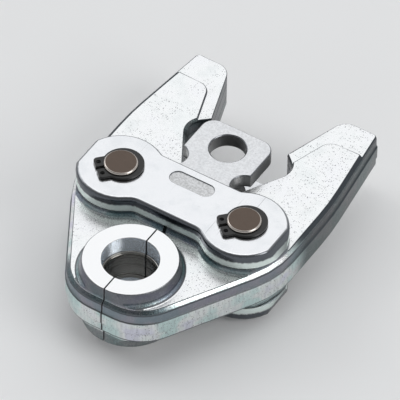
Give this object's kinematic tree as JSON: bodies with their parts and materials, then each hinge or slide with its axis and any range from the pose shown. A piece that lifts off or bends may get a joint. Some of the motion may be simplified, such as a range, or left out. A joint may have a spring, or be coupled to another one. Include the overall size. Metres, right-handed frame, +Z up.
{
  "type": "press fitting tool jaw",
  "caption": "Pressing jaw for a pipe press tool: sprung forged jaws with a beaded round press bore swing on pins between T-shaped side plates.",
  "frame": {"origin": "centre of the part's box at its lowest level, where the lower ends of the pivot pins stand on a surface", "axes": "+Y from the press bore to the tips of the legs, +Z up along the pivot pins and the press bore, +X from the left jaw to the right jaw"},
  "size_m": [0.092, 0.13, 0.0398],
  "materials": {
    "jaw_zinc": "bright zinc plating over a forged and shot-blasted skin",
    "plate_zinc": "satin zinc plating",
    "pin_steel": "browned, ground steel",
    "ring_black": "black phosphated spring steel",
    "spring_wire": "bright drawn wire"
  },
  "bodies": {
    "side_frame": {"top_side_plate": "plate_zinc", "bottom_side_plate": "plate_zinc", "left_pivot_pin": "pin_steel", "right_pivot_pin": "pin_steel", "upper_left_retaining_ring": "ring_black", "upper_right_retaining_ring": "ring_black", "lower_left_retaining_ring": "ring_black", "lower_right_retaining_ring": "ring_black", "closing_spring": "spring_wire"},
    "left_jaw": {"left_jaw": "jaw_zinc"},
    "right_jaw": {"right_jaw": "jaw_zinc"}
  },
  "joints": [
    {"name": "left_jaw_opening", "type": "hinge", "parent": "side_frame", "child": "left_jaw", "pos_m": [-0.02725, -0.00935, 0.0199], "axis": [0, 0, -1], "range_deg": [0, 13], "stiffness_Nm_per_rad": 0.76, "springref_deg": -31.51, "deforming": ["closing_spring"]},
    {"name": "right_jaw_opening", "type": "hinge", "parent": "side_frame", "child": "right_jaw", "pos_m": [0.02725, -0.00935, 0.0199], "axis": [0, 0, 1], "range_deg": [0, 13], "stiffness_Nm_per_rad": 0.76, "springref_deg": -31.51, "deforming": ["closing_spring"]}
  ]
}
